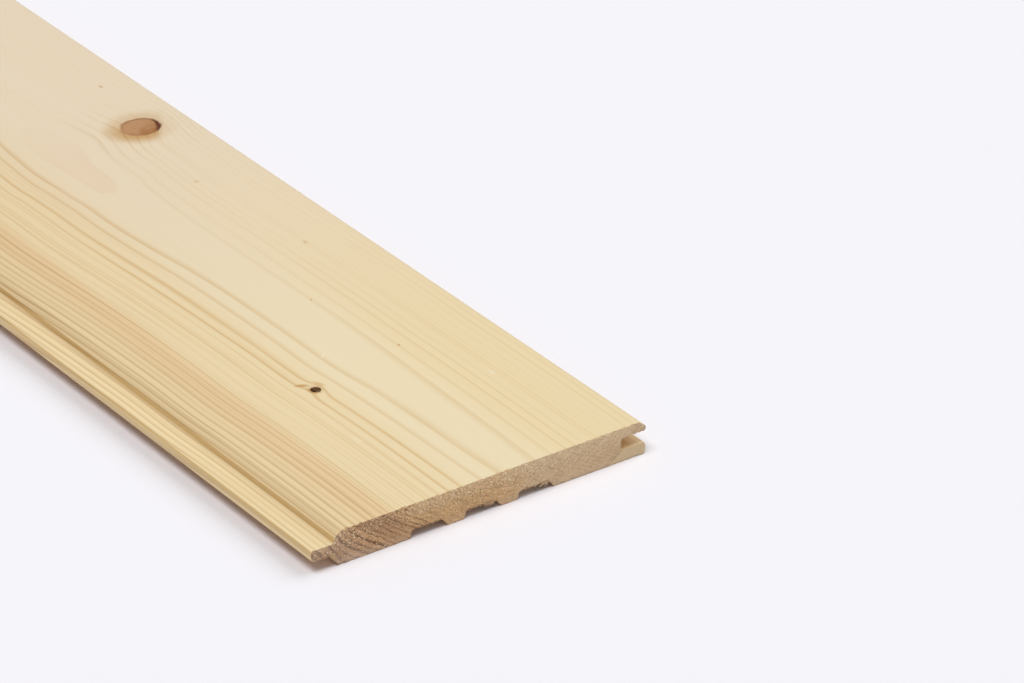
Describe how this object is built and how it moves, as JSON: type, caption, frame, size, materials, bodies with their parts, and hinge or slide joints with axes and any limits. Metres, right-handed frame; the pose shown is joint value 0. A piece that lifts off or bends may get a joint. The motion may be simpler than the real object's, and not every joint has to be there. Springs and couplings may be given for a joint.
{
  "type": "tongue and groove board",
  "caption": "Planed softwood panelling board with a tongue on one long edge, a groove on the other, bevelled joint corners and relief channels along its back.",
  "frame": {"origin": "centre of the board's width and length, on the plane of its back", "axes": "+Y along the grain and the length, +X across the width from the tongue to the groove, +Z from the back to the face, so the board lies face up"},
  "size_m": [0.147, 2.1, 0.014],
  "materials": {
    "spruce": "planed, bare softwood with a faint sheen"
  },
  "bodies": {
    "root": {"board": "spruce"}
  },
  "joints": []
}
